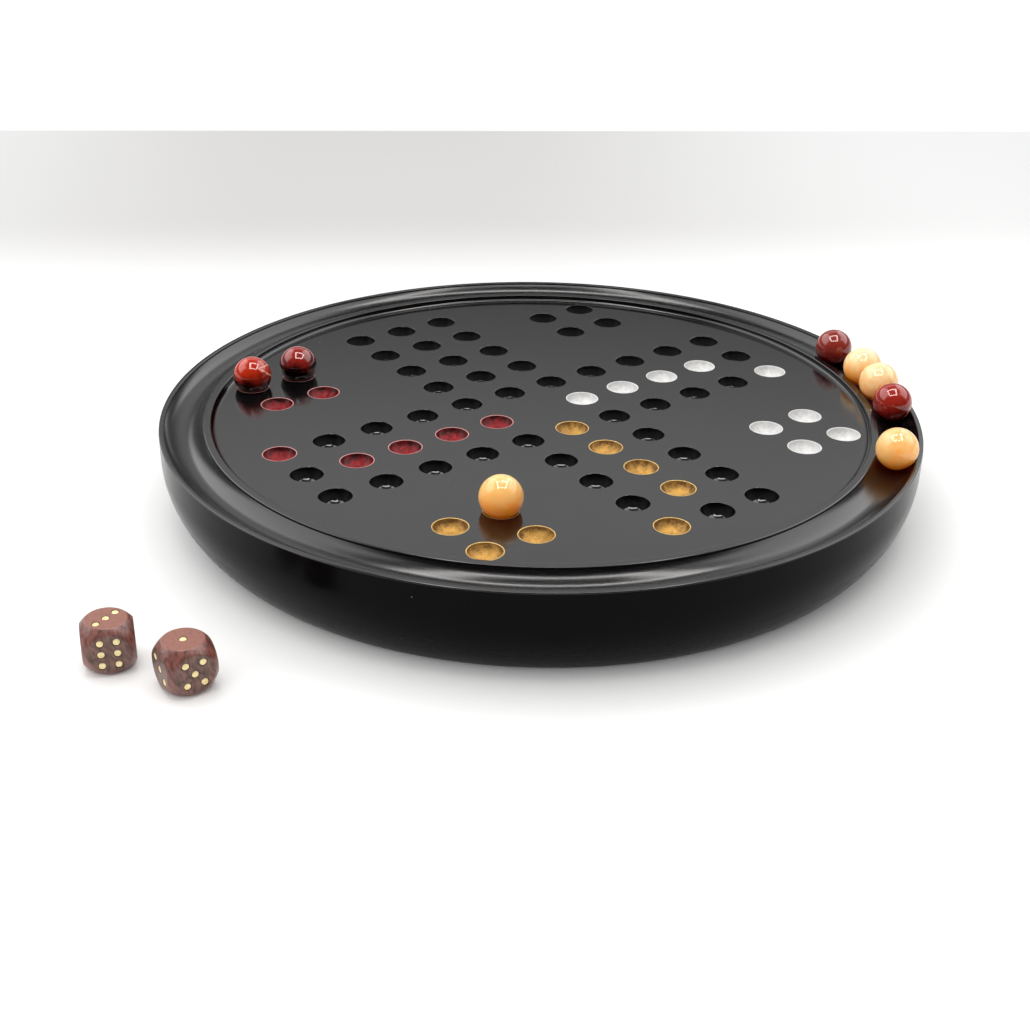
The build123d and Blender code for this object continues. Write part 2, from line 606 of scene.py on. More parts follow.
ENAMELS = (
    Enamel(
        team=Team.WHITE,
        deep=colour(0.46, 0.46, 0.455),
        full=colour(0.74, 0.73, 0.715),
        metallic=0.0,
        roughness=0.40,
        grain_scale=1500.0,
        grain_depth=0.00003,
        specular=0.4,
        rim=colour(0.72, 0.72, 0.70),
    ),
    Enamel(
        team=Team.GOLD,
        deep=colour(0.12, 0.052, 0.007),
        full=colour(0.58, 0.32, 0.062),
        metallic=0.2,
        roughness=0.46,
        grain_scale=2600.0,
        grain_depth=0.00009,
        specular=0.25,
        rim=colour(0.66, 0.44, 0.15),
    ),
    Enamel(
        team=Team.RED,
        deep=colour(0.018, 0.0004, 0.0008),
        full=colour(0.30, 0.006, 0.011),
        metallic=0.0,
        roughness=0.36,
        grain_scale=900.0,
        grain_depth=0.00002,
        specular=0.14,
        rim=colour(0.60, 0.26, 0.25),
    ),
)


@dataclass(frozen=True)
class Stone:
    """Polished translucent stone with soft clouds and a vein, pale towards the top and deep towards the bottom as
    painted light and painted shade.
    """

    # pale is the colour towards the top, with painted light; deep is the colour towards the bottom, with painted shade,
    # and of the flecks
    pale: Colour
    deep: Colour
    vein: Colour
    vein_side: Way
    vein_width: float
    vein_share: float
    glow: float
    # the heights, in the marble's radius, where the painted shade and the painted light are full
    low_share: float = -0.8
    high_share: float = 0.8
    vein_place: float = 0.72
    vein_edge: float = 0.03
    vein_wander: float = 0.4
    wander_scale: float = 260.0
    fold_share: float = 0.0
    fold_side: Way = (0.27, 0.375, 0.887)
    fold_place: float = 0.3
    fleck_side: Way = (-0.56, -0.58, 0.20)
    fleck_share: float = 0.0
    fleck_wander: float = 0.04
    fleck_span: Span = (0.80, 0.83)
    cloud_scale: float = 120.0
    cloud_reach: float = 1.6
    glow_reach: float = 0.6
    glow_spread: Way = (1.0, 0.45, 0.2)
    roughness: float = 0.035
    cloud_roughness: float = 0.03
    ior: float = 1.54

    def material(self, name: str, centre: Vector, radius: float) -> bpy.types.Material:
        """Make a marble's material.

        Args:
            name: the marble's name.
            centre: its centre.
            radius: its radius.

        Returns:
            The material.
        """
        shader = Surface(f"{name}_stone")
        local = shader.local(centre, size=radius)
        height = shader.split(local)[2]
        clouds = shader.noise(shader.place, self.cloud_scale, detail=4.0, rough=0.6)
        # painted light and shade: pale towards the top and deep towards the bottom, broken by the clouds
        shade = (height + (clouds - 0.5) * self.cloud_reach).ramp(self.low_share, self.high_share)
        body = shader.blend(shade, self.deep, self.pale)
        wander = shader.noise(shader.place, self.wander_scale, detail=3.0, rough=0.6) - 0.5
        fold = abs(shader.along(local, self.fold_side) - self.fold_place) * self.fold_share
        across = shader.along(local, self.vein_side) - fold + wander * self.vein_wander
        vein = across.band(self.vein_place, self.vein_place + self.vein_width, self.vein_edge) * self.vein_share
        fleck = (shader.along(local, self.fleck_side) + wander * self.fleck_wander).ramp(*self.fleck_span)
        veined = shader.blend(vein, body, self.vein)
        return shader.finish(
            Base_Color=shader.blend(fleck * self.fleck_share, veined, self.deep),
            Roughness=self.roughness + clouds * self.cloud_roughness,
            IOR=self.ior,
            Subsurface_Weight=self.glow,
            Subsurface_Radius=self.glow_spread,
            Subsurface_Scale=radius * self.glow_reach,
        )


RED_STONE = Stone(
    pale=colour(0.25, 0.030, 0.020),
    deep=colour(0.07, 0.0015, 0.0015),
    vein=colour(0.75, 0.33, 0.30),
    vein_side=(0.9, -0.4, 0.1),
    vein_width=0.05,
    vein_share=0.5,
    glow=0.08,
)
YELLOW_STONE = Stone(
    pale=colour(0.98, 0.66, 0.37),
    deep=colour(1.0, 0.34, 0.016),
    vein=colour(0.98, 0.84, 0.60),
    vein_side=(0.2, 0.3, 0.9),
    vein_width=0.3,
    vein_share=0.4,
    glow=1.0,
    glow_reach=1.0,
    glow_spread=(1.2, 0.6, 0.35),
)

STONES = {
    "red_marble_1": replace(
        RED_STONE,
        pale=colour(0.44, 0.025, 0.007),
        deep=colour(0.012, 0.0006, 0.0005),
        vein=colour(0.90, 0.42, 0.30),
        vein_side=(0.812, -0.584, 0.0),
        vein_width=0.14,
        vein_share=0.6,
        glow=0.05,
        low_share=-0.5,
        high_share=0.6,
        vein_place=0.41,
        fold_share=1.6,
    ),
    "red_marble_2": replace(
        RED_STONE,
        pale=colour(0.27, 0.018, 0.013),
        deep=colour(0.004, 0.0002, 0.0003),
        vein=colour(0.22, 0.012, 0.009),
        vein_side=(0.6, -0.7, 0.3),
        vein_width=0.10,
        vein_share=0.3,
        glow=0.03,
        low_share=0.05,
        high_share=0.95,
    ),
    "red_marble_3": RED_STONE,
    "red_marble_4": replace(
        RED_STONE, pale=colour(0.32, 0.022, 0.014), vein_side=(0.75, -0.55, -0.3), vein_width=0.07
    ),
    "yellow_marble_1": replace(
        YELLOW_STONE,
        pale=colour(1.0, 0.52, 0.19),
        deep=colour(1.0, 0.29, 0.004),
        vein=colour(0.97, 0.68, 0.33),
        vein_side=(0.2, 0.1, 0.9),
        vein_share=0.5,
        glow_reach=1.3,
        glow_spread=(1.2, 0.6, 0.3),
    ),
    "yellow_marble_2": YELLOW_STONE,
    "yellow_marble_3": replace(
        YELLOW_STONE, vein=colour(0.85, 0.34, 0.05), vein_side=(-0.3, -0.8, -0.2), vein_width=0.08, vein_share=0.6
    ),
    "yellow_marble_4": replace(
        YELLOW_STONE,
        pale=colour(0.96, 0.56, 0.24),
        deep=colour(0.95, 0.36, 0.025),
        vein=colour(0.80, 0.30, 0.03),
        vein_side=(0.5, -0.7, -0.5),
        vein_width=0.12,
        vein_share=0.6,
        fleck_share=0.45,
    ),
}


@dataclass(frozen=True)
class Rosewood:
    """Rosewood, brown where it was sawn flat and red under thick lacquer where it was turned, with painted light that
    makes its top face lighter and pinker.
    """

    dark: Colour = colour(0.035, 0.016, 0.012)
    brown: Colour = colour(0.125, 0.055, 0.041)
    light: Colour = colour(0.200, 0.092, 0.070)
    shaded_red: Colour = colour(0.080, 0.024, 0.017)
    red: Colour = colour(0.215, 0.066, 0.048)
    # pink is the colour of the painted light on the top face
    pink: Colour = colour(0.30, 0.105, 0.070)
    grain_length: float = 7.0
    grain_scale: float = 900.0
    grain_lean: float = 0.3
    grain_roughness: float = 0.2
    grain_relief: float = 0.5
    warp_scale: float = 130.0
    warp_reach: float = 0.003
    pore_fineness: float = 2.6
    pore_span: Span = (0.58, 0.70)
    pore_share: float = 0.5
    pore_relief: float = 0.3
    sawn_places: tuple[float, float, float] = (0.34, 0.50, 0.66)
    turned_span: Span = (0.35, 0.62)
    # the painted light on the top face: how it follows the grain and how strong it is
    top_light_span: Span = (0.25, 0.55)
    top_light_share: float = 0.85
    chip_scale: float = 700.0
    roughness: float = 0.32
    coat: float = 0.35
    coat_sawn_off: float = 0.2
    coat_roughness: float = 0.18
    relief_depth: float = 0.00009
    bevel: float = 0.0002

    def material(self, name: str, centre: Vector, turn: float, half: float) -> bpy.types.Material:
        """Make a die's material.

        Args:
            name: the die's name.
            centre: its centre.
            turn: how far it is turned about the upright.
            half: half its side.

        Returns:
            The material.
        """
        shader = Surface(f"{name}_rosewood")
        local = shader.local(centre, turn)
        x, y, z = shader.split(local)
        furthest = abs(x).at_least(abs(y)).at_least(abs(z))
        face_span = (half - self.bevel, half - self.bevel / 3)
        flat, top = furthest.ramp(*face_span), z.ramp(*face_span)
        warp = (shader.noise(local, self.warp_scale) - 0.5) * self.warp_reach
        bent = shader.join(x + z * self.grain_lean + warp, y - z * self.grain_lean, z / self.grain_length)
        grain = shader.noise(bent, self.grain_scale, detail=4.0, rough=0.6)
        pores = shader.noise(bent, self.grain_scale * self.pore_fineness, rough=0.7).ramp(*self.pore_span)
        chips = shader.noise(local, self.chip_scale, detail=4.0, rough=0.7) * (1 - flat)
        sawn = shader.ramp_colour(grain, list(zip(self.sawn_places, (self.dark, self.brown, self.light))))
        turned_red = shader.blend(grain.ramp(*self.turned_span), self.shaded_red, self.red)
        # painted light: the top face is made lighter and pinker than the other faces
        painted_top_light = shader.blend(grain.ramp(*self.top_light_span), self.red, self.pink)
        wood = shader.blend(top * self.top_light_share, shader.blend(flat, turned_red, sawn), painted_top_light)
        return shader.finish(
            Base_Color=shader.blend(pores * self.pore_share, wood, self.dark),
            Roughness=self.roughness + grain * self.grain_roughness,
            Coat_Weight=self.coat - flat * self.coat_sawn_off,
            Coat_Roughness=self.coat_roughness,
            Normal=shader.bump(grain * self.grain_relief - pores * self.pore_relief + chips, self.relief_depth),
        )


@dataclass(frozen=True)
class PipBrass:
    """Pale filed brass."""

    pale: Colour = colour(0.92, 0.80, 0.47)
    dull: Colour = colour(0.80, 0.60, 0.27)
    patch_scale: float = 900.0
    patch_span: Span = (0.35, 0.65)
    patch_roughness: float = 0.15
    patch_depth: float = 0.00002
    metallic: float = 0.35
    roughness: float = 0.42

    def material(self) -> bpy.types.Material:
        """Make the material.

        Returns:
            The material.
        """
        shader = Surface("pip_brass")
        patches = shader.noise(shader.place, self.patch_scale, detail=3.0)
        return shader.finish(
            Base_Color=shader.blend(patches.ramp(*self.patch_span), self.dull, self.pale),
            Metallic=self.metallic,
            Roughness=self.roughness + patches * self.patch_roughness,
            Normal=shader.bump(patches, self.patch_depth),
        )


@dataclass(frozen=True)
class PaintedHoleShade:
    """The dark colour on the walls and floor of a pip's hole, which is painted shade in the ring round the pip."""

    dark: Colour = colour(0.020, 0.010, 0.004)
    light: Colour = colour(0.070, 0.038, 0.012)
    patch_scale: float = 1500.0
    roughness: float = 0.6

    def material(self) -> bpy.types.Material:
        """Make the material.

        Returns:
            The material.
        """
        shader = Surface("painted_hole_shade")
        patches = shader.noise(shader.place, self.patch_scale)
        return shader.finish(Base_Color=shader.blend(patches, self.dark, self.light), Roughness=self.roughness)


@dataclass
class Board:
    """The turned board with its groove, ring, recessed field and hollows."""

    underside_inset: float = 0.0122
    wall_turn_height: float = 0.027
    underside_edge_round: float = 0.0008
    lip_width: float = 0.0021
    ring_width: float = 0.0033
    top_edge_round: float = 0.0005
    recess_depth: float = 0.0025
    recess_foot_round: float = 0.0017
    groove_depth: float = 0.0047
    groove_floor_radius: float = 0.0090
    groove_half_width: float = 0.007287
    hollow_mouth_radius: float = 0.00625
    hollow_depth: float = 0.0039
    hollow_rim_round: float = 0.00025
    hollow_edge_margin: float = 0.0021
    lining_thickness: float = 0.0003
    lining_gap: float = 0.00002
    arm_length: int = 5
    base_cells: tuple[int, int] = (3, 4)
    board_steps: int = 256
    wall_steps: int = 20
    groove_steps: int = 20
    edge_steps: int = 5
    foot_steps: int = 8
    hollow_steps: int = 48
    bowl_steps: int = 10
    rim_steps: int = 4
    bowl_start: float = 2.0
    bowl_overrun: float = 1.5
    rim_end: float = 100.0
    wall_arc_share: float = 0.965
    edge_points: tuple[Point, ...] = ((-2.0, 0.0), (-0.6, 0.00003), (0.05, 0.00035))
    wall_start_radius: float = 0.13
    wall_top_height: float = 0.031
    underside_facing: float = -0.5
    lining_rim_round: float = 0.0002
    top_finish: BlackLacquer = BlackLacquer("polished_black_lacquer", 0.5, 0.13, 0.35)
    # the outer wall's black is darker than the top's, which is painted shade
    wall_finish: BlackLacquer = BlackLacquer(
        "satin_black_lacquer", 0.06, 0.20, 0.12, colour(0.0004, 0.0004, 0.0005), film=0.001, sheen=0.12
    )
    # the hollows' black is darker than the top's, which is painted shade in them
    hollow_finish: BlackLacquer = BlackLacquer("dull_black_lacquer", 0.03, 0.42, 0.1, colour(0.0006, 0.0006, 0.0006))
    hollow_polish_height: float = 0.0007

    def __post_init__(self) -> None:
        """Work out the sizes that follow from the frame."""
        low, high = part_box("turned_board")
        self.radius = (high.x - low.x) / 2
        self.height = high.z
        self.underside_radius = self.radius - self.underside_inset
        self.field_height = self.height - self.recess_depth
        self.groove_outer_radius = self.radius - self.lip_width
        self.groove_radius = self.groove_outer_radius - self.groove_half_width
        self.groove_inner_radius = self.groove_radius - self.groove_half_width
        self.recess_radius = self.groove_inner_radius - self.ring_width
        self.field_radius = self.recess_radius - self.recess_foot_round
        mouth, depth = self.hollow_mouth_radius, self.hollow_depth
        self.hollow_ball_radius = (mouth**2 + depth**2) / (2 * depth)
        self.hollow_ball_height = self.field_height - depth + self.hollow_ball_radius
        furthest = self.field_radius - self.hollow_edge_margin - self.hollow_mouth_radius
        self.pitch = furthest / math.hypot(self.base_cells[-1], self.base_cells[-1])

    def team_cells(self, quarter_turns: int) -> list[Cell]:
        """Give a team's nine cells: its home row, its start and its base.

        Args:
            quarter_turns: how far the layout is turned clockwise.

        Returns:
            The cells as columns and rows from the board's centre.
        """
        cells = [(column, 0) for column in range(1, self.arm_length)]
        cells.append((self.arm_length, -1))
        cells += [(column, -row) for column in self.base_cells for row in self.base_cells]
        for _ in range(quarter_turns):
            cells = [(row, -column) for column, row in cells]
        return cells

    def all_cells(self) -> list[Cell]:
        """Give every cell that has a hollow.

        Returns:
            The cells of the cross without its centre, and of the four bases.
        """
        reach = range(-self.arm_length, self.arm_length + 1)
        cells = [(column, row) for column in reach for row in reach if min(abs(column), abs(row)) <= 1]
        cells.remove((0, 0))
        sides = [side * number for side in (-1, 1) for number in self.base_cells]
        return cells + [(column, row) for column in sides for row in sides]

    def above(self, cell: Cell) -> Matrix:
        """Give the place of a cell on the grid."""
        return Matrix.Translation((cell[0] * self.pitch, cell[1] * self.pitch, 0))

    def edge_round(self, corner: Point, facing: float) -> list[Point]:
        """Give the points of a rounded top edge.

        Args:
            corner: where the wall and the top would meet.
            facing: 1 if the wall faces outwards and -1 if it faces inwards.

        Returns:
            The points, from the wall to the top.
        """
        size = self.top_edge_round
        centre = (corner[0] - facing * size, corner[1] - size)
        side = 0 if facing > 0 else 180
        return arc(centre, size, side, 90, self.edge_steps)

    def profile(self) -> list[Point]:
        """Give the board's section.

        Returns:
            Its points from the underside to the playing field.
        """
        rise, inset = self.wall_turn_height, self.underside_inset
        wall_radius = (rise**2 + inset**2) / (2 * inset)
        wall_centre = (self.radius - wall_radius, rise)
        foot = math.degrees(math.asin(rise / wall_radius))
        edge, rounding = self.underside_radius, self.underside_edge_round
        points = [(edge + share * rounding, height) for share, height in self.edge_points]
        points += arc(wall_centre, wall_radius, -foot * self.wall_arc_share, 0, self.wall_steps)
        points += self.edge_round((self.radius, self.height), 1)
        points += reversed(self.edge_round((self.groove_outer_radius, self.height), -1))
        floor_height = self.height - self.groove_depth
        half_turn = math.degrees(math.asin(self.groove_half_width / self.groove_floor_radius))
        floor_centre = (self.groove_radius, floor_height + self.groove_floor_radius)
        ends = (-90 + half_turn, -90 - half_turn)
        points += arc(floor_centre, self.groove_floor_radius, *ends, self.groove_steps)
        points += self.edge_round((self.groove_inner_radius, self.height), 1)
        points += reversed(self.edge_round((self.recess_radius, self.height), -1))
        foot_centre = (self.field_radius, self.field_height + self.recess_foot_round)
        points += arc(foot_centre, self.recess_foot_round, 0, -90, self.foot_steps)
        return points

    def hollow_cutter(self, name: str, depth: float, rim_round: float) -> bpy.types.Object:
        """Turn the tool that cuts one hollow.

        Args:
            name: its name.
            depth: how much deeper it cuts than a bare hollow.
            rim_round: the rounding that it leaves at the rim, or 0 for none.

        Returns:
            The tool, over the board's centre.
        """
        ball = self.hollow_ball_radius + depth
        centre = (0.0, self.hollow_ball_height)
        rim_drop = self.hollow_ball_height - self.field_height + rim_round
        rim_turn = math.degrees(math.asin(rim_drop / (ball + rim_round)))
        bowl_end = -rim_turn if rim_round else -rim_turn + self.bowl_overrun
        points = arc(centre, ball, -90 + self.bowl_start, bowl_end, self.bowl_steps)
        if rim_round:
            across = math.sqrt((ball + rim_round) ** 2 - rim_drop**2)
            rim_centre = (across, self.field_height - rim_round)
            points += arc(rim_centre, rim_round, 180 - rim_turn, self.rim_end, self.rim_steps)[1:]
        points.append((points[-1][0], self.height + self.recess_depth))
        return turned(name, points, self.hollow_steps)

    def mark_out(self, board: bpy.types.Object) -> None:
        """Divide the playing field into its square cells, so that each face holds one hollow at most.

        Args:
            board: the turned board, whose field is still one face.
        """
        edit(board)
        for axis in range(2):
            for line in range(-self.arm_length, self.arm_length + 2):
                place, way = [0.0, 0.0, 0.0], [0.0, 0.0, 0.0]
                place[axis], way[axis] = (line - 0.5) * self.pitch, 1.0
                select_faces(board, lambda face: face.normal.z > FLAT_LIMIT and face.center.length < self.field_radius)
                bpy.ops.mesh.bisect(plane_co=place, plane_no=way)
        close_edit()

    def build(self) -> bpy.types.Object:
        """Turn the board and cut its hollows.

        Returns:
            The board.
        """
        board = turned("turned_ludo_board", self.profile(), self.board_steps)
        self.mark_out(board)
        painted = [cell for team in Team for cell in self.team_cells(team.quarter_turns)]
        bare = [cell for cell in self.all_cells() if cell not in painted]
        bare_tool = self.hollow_cutter("bare_tool", 0.0, self.hollow_rim_round)
        painted_tool = self.hollow_cutter("painted_tool", self.lining_thickness + self.lining_gap, 0.0)
        tools = copies(bare_tool, [self.above(cell) for cell in bare])
        tools += copies(painted_tool, [self.above(cell) for cell in painted])
        cut(board, joined("hollow_tools", tools))
        return board

    def dress(self, board: bpy.types.Object) -> None:
        """Lacquer the board, its top polished and its outer wall satin.

        Args:
            board: the finished mesh.
        """
        groove = (self.groove_inner_radius, self.groove_outer_radius)
        board.data.materials.clear()
        for finish in (self.top_finish, self.wall_finish, self.hollow_finish):
            board.data.materials.append(finish.material(groove))
        top_start = self.height - self.top_edge_round
        hollow_start = self.field_height - self.hollow_rim_round
        polish_top = self.field_height - self.hollow_depth + self.hollow_polish_height
        for face in board.data.polygons:
            radius, height = math.hypot(face.center.x, face.center.y), face.center.z
            below = radius > self.wall_start_radius and height < self.wall_top_height
            beside = radius > self.groove_outer_radius + self.top_edge_round and height < top_start
            if below or beside or face.normal.z < self.underside_facing:
                face.material_index = 1
            elif radius < self.wall_start_radius and polish_top < height < hollow_start:
                face.material_index = 2
        smooth(board, [Vector((0, 0, 1))])
        hand_over(board, "board", "black_lacquer", "turned_board")

    def build_lining(self, enamel: Enamel) -> bpy.types.Object:
        """Make the enamel in a team's nine hollows.

        Args:
            enamel: the team's enamel.

        Returns:
            The linings as one piece.
        """
        inner, outer = self.hollow_ball_radius, self.hollow_ball_radius + self.lining_thickness
        centre = (0.0, self.hollow_ball_height)
        drop = self.hollow_ball_height - self.field_height
        bottom = -90 + self.bowl_start
        outer_turn = math.degrees(math.asin(drop / outer))
        points = arc(centre, outer, bottom, -outer_turn, self.bowl_steps)
        rounding = self.lining_rim_round
        rim_turn = math.degrees(math.asin((drop + rounding) / (inner + rounding)))
        across = math.sqrt((inner + rounding) ** 2 - (drop + rounding) ** 2)
        points += arc((across, self.field_height - rounding), rounding, 90, 180 - rim_turn, self.rim_steps)
        points += arc(centre, inner, -rim_turn, bottom, self.bowl_steps)[1:]
        lining = turned(f"{enamel.team.word}_lining", points, self.hollow_steps)
        places = [self.above(cell) for cell in self.team_cells(enamel.team.quarter_turns)]
        return joined(f"{enamel.team.word}_enamel_linings", copies(lining, places))

    def dress_lining(self, lining: bpy.types.Object, enamel: Enamel) -> None:
        """Give linings their enamel.

        Args:
            lining: the linings.
            enamel: their enamel.
        """
        word = enamel.team.word
        lining.data.materials.append(enamel.material(self.field_height, self.hollow_depth))
        smooth(lining)
        hand_over(lining, "board", f"{word}_enamel", f"{word}_hollow_linings")


@dataclass
class Marble:
    """A polished stone ball, a little uneven as hand-ground stone is."""

    node: str
    stone: Stone
    fineness: int = 5
    flattening: float = 0.004
    waviness: float = 0.000002
    wave_size: float = 0.006

    def build(self) -> bpy.types.Object:
        """Grind the marble.

        Returns:
            The marble.
        """
        low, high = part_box(self.node)
        self.centre = (low + high) / 2
        self.radius = (high.z - low.z) / 2
        deselect_all()
        bpy.ops.mesh.primitive_ico_sphere_add(subdivisions=self.fineness, radius=self.radius, location=self.centre)
        marble = bpy.context.object
        marble.name = f"polished_{self.node}"
        settle(marble)
        edit(marble)
        bpy.ops.transform.resize(value=(1, 1 - self.flattening, 1), center_override=self.centre)
        close_edit()
        waves = bpy.data.textures.new(f"{self.node}_waves", "CLOUDS")
        waves.noise_scale = self.wave_size
        modify(marble, "DISPLACE", texture=waves, texture_coords="LOCAL", strength=self.waviness, mid_level=1.0)
        return marble

    def dress(self, marble: bpy.types.Object) -> None:
        """Give the marble its stone and put it on its body.

        Args:
            marble: the marble.
        """
        marble.data.materials.append(self.stone.material(self.node, self.centre, self.radius))
        pick(marble)
        bpy.ops.object.shade_smooth()
        slot = "red_stone" if self.node.startswith("red") else "yellow_stone"
        hand_over(marble, self.node, slot, self.node)


@dataclass
class Die:
    """A rosewood cube turned to a ball, with inlaid brass pips."""

    node: str
    turn: float
    numbers: dict[str, str]
    falling_faces: tuple[str, ...] = ()
    diagonal_reach: float = 0.0032
    square_reach: Point = (0.00295, 0.00375)
    six_reach: Point = (0.00265, 0.0042)
    pip_radius: float = 0.00115
    ring_gap: float = 0.0002
    pip_depth: float = 0.0012
    pip_edge_margin: float = 0.0006
    mouth_round: float = 0.00006
    hole_foot: Point = (0.9, 0.95)
    pin_foot: float = 0.94
    pin_crown: tuple[Point, ...] = ((0.6, 0.4), (0.25, 0.1))
    hole_round_end: float = 95.0
    pin_round_end: float = 80.0
    round_steps: int = 3
    sanding: float = 0.5
    sandings: int = 3
    grain_size: float = 0.00017
    ball_steps: int = 160
    pip_steps: int = 24

    FACES = {
        "top": ((0, 0, 1), (1, 0, 0)),
        "bottom": ((0, 0, -1), (1, 0, 0)),
        "front": ((0, -1, 0), (1, 0, 0)),
        "back": ((0, 1, 0), (-1, 0, 0)),
        "right": ((1, 0, 0), (0, 1, 0)),
        "left": ((-1, 0, 0), (0, -1, 0)),
    }

    def __post_init__(self) -> None:
        """Work out the sizes that follow from the frame."""
        low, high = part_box(self.node)
        self.half = (high.z - low.z) / 2
        self.centre = (low + high) / 2
        self.seat = Matrix.Translation(self.centre) @ Matrix.Rotation(math.radians(self.turn), 4, "Z")
        self.hole_radius = self.pip_radius + self.ring_gap
        self.face_radius = math.hypot(*self.six_reach) + self.hole_radius + self.pip_edge_margin

    def layout(self, number: str) -> list[Point]:
        """Give a face's pips about its centre.

        Args:
            number: how many there are, in words.

        Returns:
            Their places.
        """
        middle = [(0.0, 0.0)]
        diagonal = [(side * self.diagonal_reach, side * self.diagonal_reach) for side in (-1, 1)]
        square = [(side * self.square_reach[0], row * self.square_reach[1]) for side in (-1, 1) for row in (-1, 1)]
        columns = [(side * self.six_reach[0], row * self.six_reach[1]) for side in (-1, 1) for row in (-1, 0, 1)]
        layouts = {
            "one": middle,
            "two": diagonal,
            "three": diagonal + middle,
            "four": square,
            "five": square + middle,
            "six": columns,
        }
        return layouts[number]

    def pip_places(self) -> list[Matrix]:
        """Give every pip's place.

        Returns:
            The places, their Z axes pointing out of the face.
        """
        places = []
        for face, number in self.numbers.items():
            outward, along = (Vector(direction) for direction in self.FACES[face])
            upward = outward.cross(along)
            turned_to = Matrix((along, upward, outward)).transposed().to_4x4()
            face_place = self.seat @ Matrix.Translation(outward * self.half) @ turned_to
            for right, up in self.layout(number):
                if face in self.falling_faces:
                    right, up = -up, right
                places.append(face_place @ Matrix.Translation((right, up, 0)))
        return places

    def build(self) -> bpy.types.Object:
        """Turn the die to a ball, saw its flat faces and drill its pip holes.

        Returns:
            The die.
        """
        ball_radius = math.hypot(self.half, self.face_radius)
        deselect_all()
        steps = self.ball_steps
        bpy.ops.mesh.primitive_uv_sphere_add(segments=steps, ring_count=steps // 2, radius=ball_radius)
        die = bpy.context.object
        die.name = f"rosewood_{self.node}"
        edit(die)
        for outward, _ in self.FACES.values():
            bpy.ops.mesh.select_all(action="SELECT")
            place = [part * self.half for part in outward]
            bpy.ops.mesh.bisect(plane_co=place, plane_no=outward, use_fill=True, clear_outer=True, threshold=TINY)
        close_edit()
        modify(die, "REMESH", mode="VOXEL", voxel_size=self.grain_size)
        modify(die, "SMOOTH", factor=self.sanding, iterations=self.sandings)
        die.matrix_world = self.seat
        settle(die)
        die.data.materials.append(Rosewood().material(self.node, self.centre, self.turn, self.half))
        radius, rounding = self.hole_radius, self.mouth_round
        foot, side = self.hole_foot
        profile = [(radius * foot, -self.pip_depth), (radius, -self.pip_depth * side)]
        profile += arc((radius + rounding, -rounding), rounding, 180, self.hole_round_end, self.round_steps)
        profile.append((radius + rounding, self.pip_depth))
        drill = turned("pip_drill", profile, self.pip_steps)
        # the holes' walls and floors take the colour of the painted shade
        drill.data.materials.append(PaintedHoleShade().material())
        cut(die, joined("pip_drills", copies(drill, self.pip_places())), material_mode="TRANSFER")
        return die

    def build_pips(self) -> bpy.types.Object:
        """Make the brass pins.

        Returns:
            The pins as one piece.
        """
        radius, rounding = self.pip_radius, self.mouth_round
        profile = [(radius * self.pin_foot, -self.pip_depth), (radius, -self.pip_depth * self.pin_foot)]
        profile += arc((radius - rounding, -2 * rounding), rounding, 0, self.pin_round_end, self.round_steps)
        profile += [(radius * out, -rounding * down) for out, down in self.pin_crown]
        pin = turned("pip_pin", profile, self.pip_steps)
        return joined(f"brass_{self.node}_pips", copies(pin, self.pip_places()))

    def dress(self, die: bpy.types.Object, pips: bpy.types.Object) -> None:
        """Give the pins their brass, shade the die and its pins smoothly and put both on the die's body.

        Args:
            die: the die.
            pips: its pins.
        """
        pips.data.materials.append(PipBrass().material())
        turned_to = self.seat.to_3x3()
        smooth(die, [turned_to @ Vector(outward) for outward, _ in self.FACES.values()])
        smooth(pips)
        hand_over(die, self.node, "rosewood", self.node)
        hand_over(pips, self.node, "pip_brass", f"{self.node}_pips")


